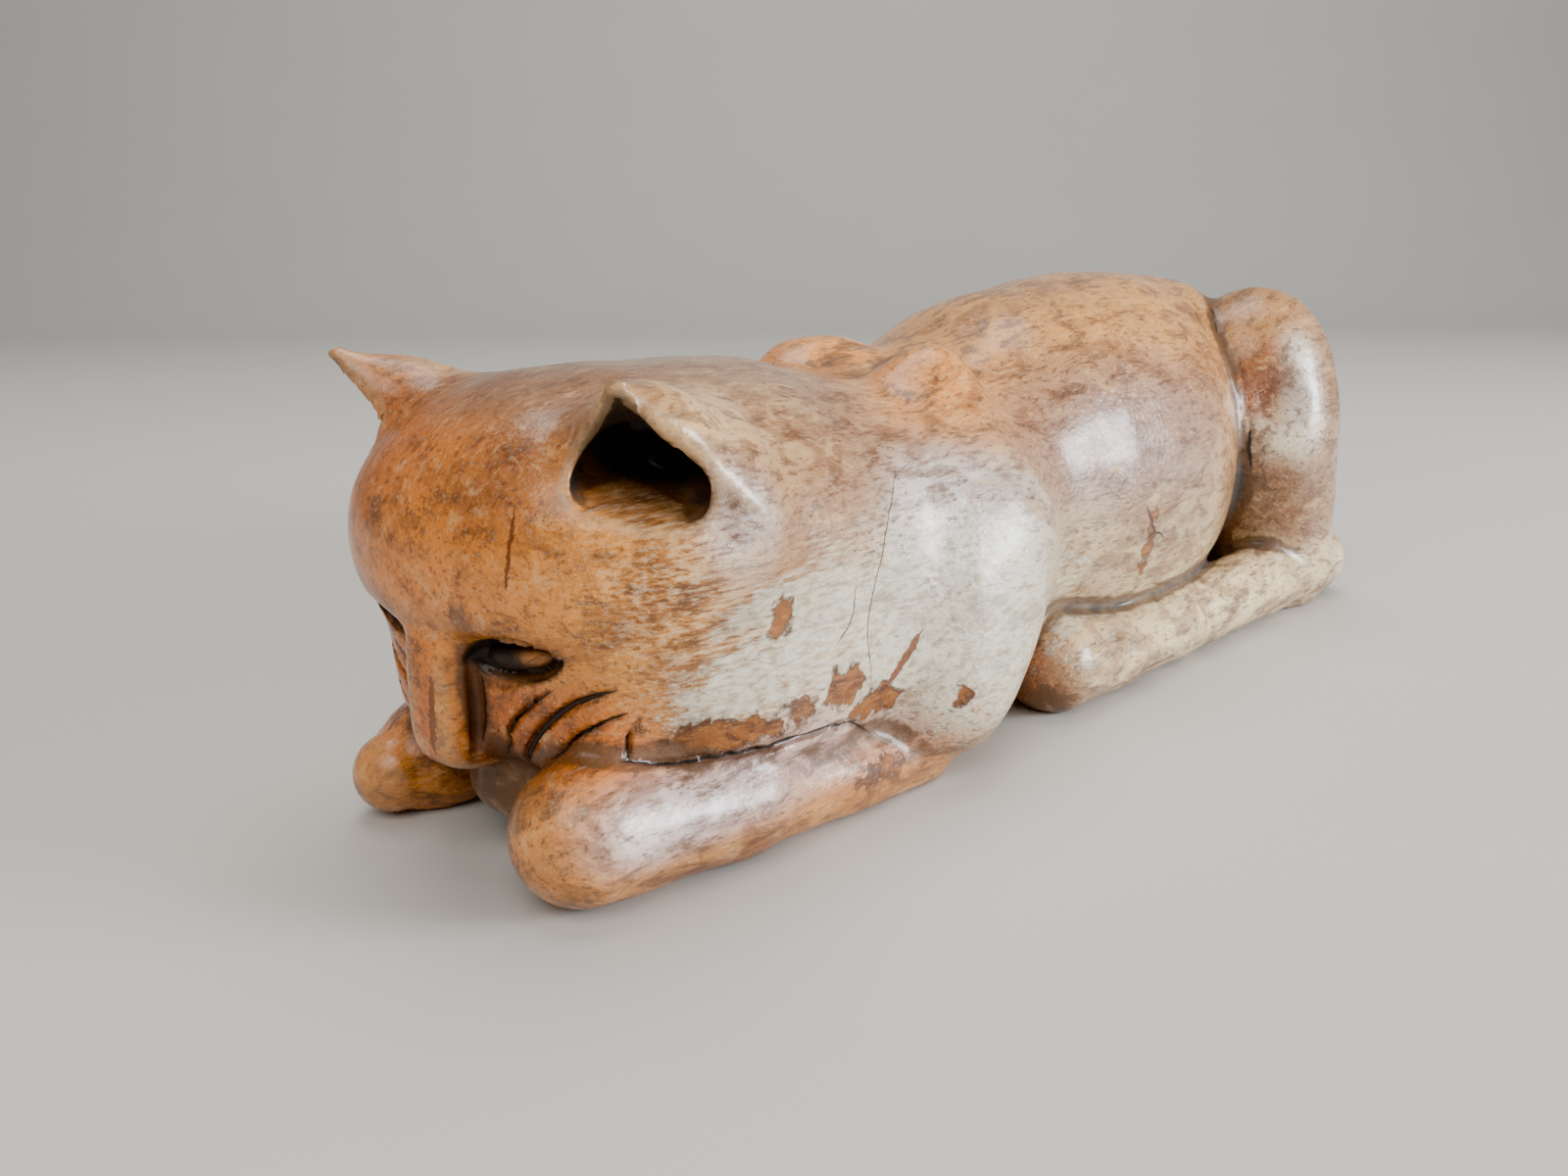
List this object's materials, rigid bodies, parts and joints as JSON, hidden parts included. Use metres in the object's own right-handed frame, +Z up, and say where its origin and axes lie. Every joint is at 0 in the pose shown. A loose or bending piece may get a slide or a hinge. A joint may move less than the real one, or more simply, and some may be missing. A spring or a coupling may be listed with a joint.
{
  "type": "carved wooden cat figure",
  "caption": "Solid carved wooden cat crouching flat with its head bowed between its forepaws, hollowed pointed ears, slanted carved eyes and whisker lines, and a flat underside to rest on",
  "frame": {"origin": "centre of the footprint on the plane the cat rests on", "axes": "-Y is the way the cat looks, +X is the cat's left side, +Z is up"},
  "size_m": [0.0898, 0.26, 0.0817],
  "materials": {
    "worn_wood": "waxed honey-brown wood, rubbed pale grey-cream on the cheeks, flanks and feet, with dark dirt in the carved lines"
  },
  "bodies": {
    "root": {"carved_cat": "worn_wood"}
  },
  "joints": []
}
